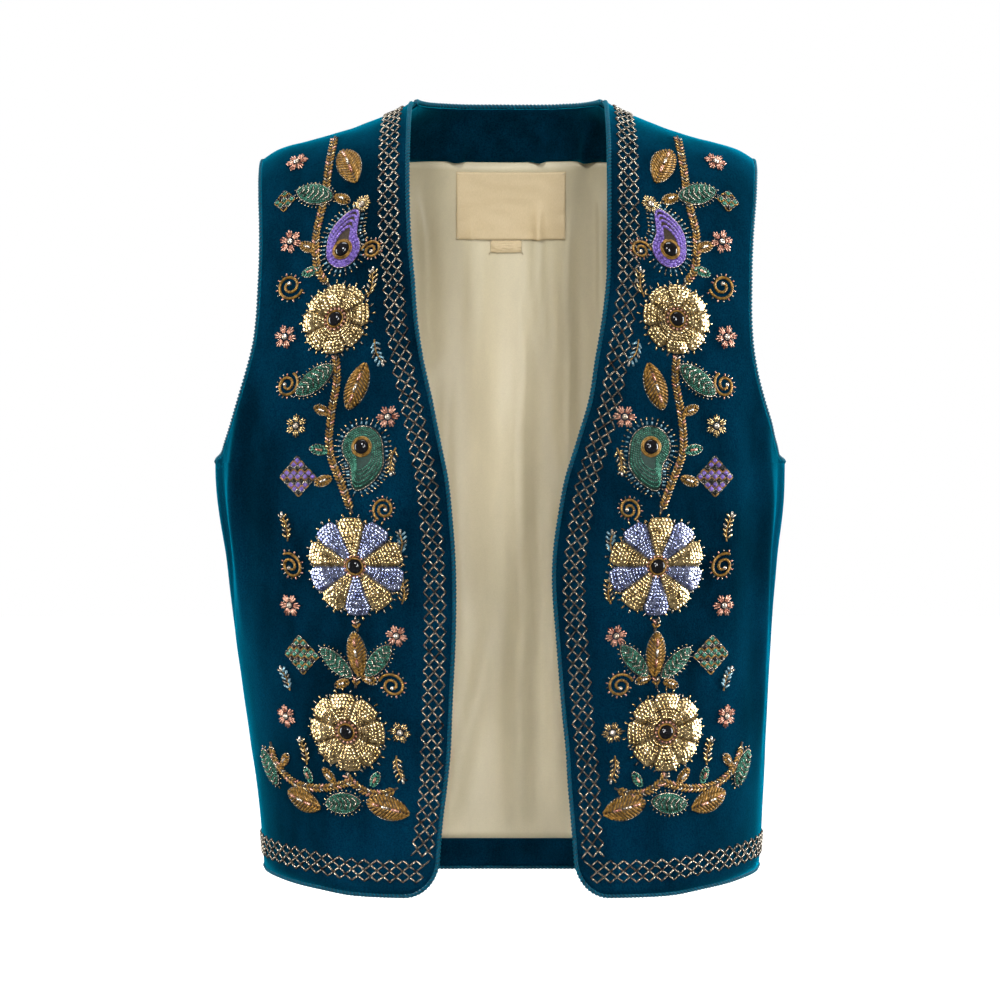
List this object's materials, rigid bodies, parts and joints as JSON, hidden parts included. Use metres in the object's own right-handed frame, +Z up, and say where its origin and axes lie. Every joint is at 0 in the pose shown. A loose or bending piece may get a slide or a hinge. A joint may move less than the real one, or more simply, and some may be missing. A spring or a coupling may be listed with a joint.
{
  "type": "waistcoat",
  "caption": "Open-front sleeveless velvet waistcoat, filled out as if worn, with corded edges and padded applique flowers, paisleys and leaves.",
  "frame": {"origin": "midway between the two shoulder seams, at the height of their middles", "axes": "+Z up through the neck opening, -Y out of the open front, +X to the right as seen from the front"},
  "size_m": [0.4152, 0.2126, 0.574],
  "materials": {
    "teal_velvet": "matte",
    "teal_cord": "satin",
    "cream_satin": "satin",
    "beige_satin": "satin",
    "gold_sequins": "satin",
    "lilac_sequins": "satin",
    "bronze_thread": "satin",
    "green_beads": "satin",
    "black_stone": "polished"
  },
  "bodies": {
    "root": {"front_left": "teal_velvet", "front_right": "teal_velvet", "back": "teal_velvet", "neck_facing": "teal_velvet", "hem_facing": "teal_velvet", "lining": "cream_satin", "label": "beige_satin", "size_tag": "beige_satin", "piping_front_left": "teal_cord", "piping_front_right": "teal_cord", "piping_neck": "teal_cord", "piping_back_hem": "teal_cord", "piping_armhole_left": "teal_cord", "piping_armhole_right": "teal_cord", "leaf_shoulder_inner_left": "bronze_thread", "leaf_shoulder_outer_left": "green_beads", "leaf_chest_inner_left": "bronze_thread", "leaf_chest_outer_left": "green_beads", "leaf_waist_inner_left": "green_beads", "leaf_waist_middle_left": "bronze_thread", "leaf_waist_outer_left": "green_beads", "leaf_hem_first_left": "bronze_thread", "leaf_hem_second_left": "green_beads", "leaf_hem_third_left": "bronze_thread", "leaf_hem_fourth_left": "green_beads", "daisy_chest_left": "gold_sequins", "daisy_waist_left": "lilac_sequins", "daisy_hem_left": "gold_sequins", "paisley_chest_left": "lilac_sequins", "paisley_waist_left": "green_beads", "stone_daisy_chest_left": "black_stone", "stone_daisy_waist_left": "black_stone", "stone_daisy_hem_left": "black_stone", "stone_paisley_chest_left": "black_stone", "stone_paisley_waist_left": "black_stone", "leaf_shoulder_inner_right": "bronze_thread", "leaf_shoulder_outer_right": "green_beads", "leaf_chest_inner_right": "bronze_thread", "leaf_chest_outer_right": "green_beads", "leaf_waist_inner_right": "green_beads", "leaf_waist_middle_right": "bronze_thread", "leaf_waist_outer_right": "green_beads", "leaf_hem_first_right": "bronze_thread", "leaf_hem_second_right": "green_beads", "leaf_hem_third_right": "bronze_thread", "leaf_hem_fourth_right": "green_beads", "daisy_chest_right": "gold_sequins", "daisy_waist_right": "lilac_sequins", "daisy_hem_right": "gold_sequins", "paisley_chest_right": "lilac_sequins", "paisley_waist_right": "green_beads", "stone_daisy_chest_right": "black_stone", "stone_daisy_waist_right": "black_stone", "stone_daisy_hem_right": "black_stone", "stone_paisley_chest_right": "black_stone", "stone_paisley_waist_right": "black_stone"}
  },
  "joints": []
}
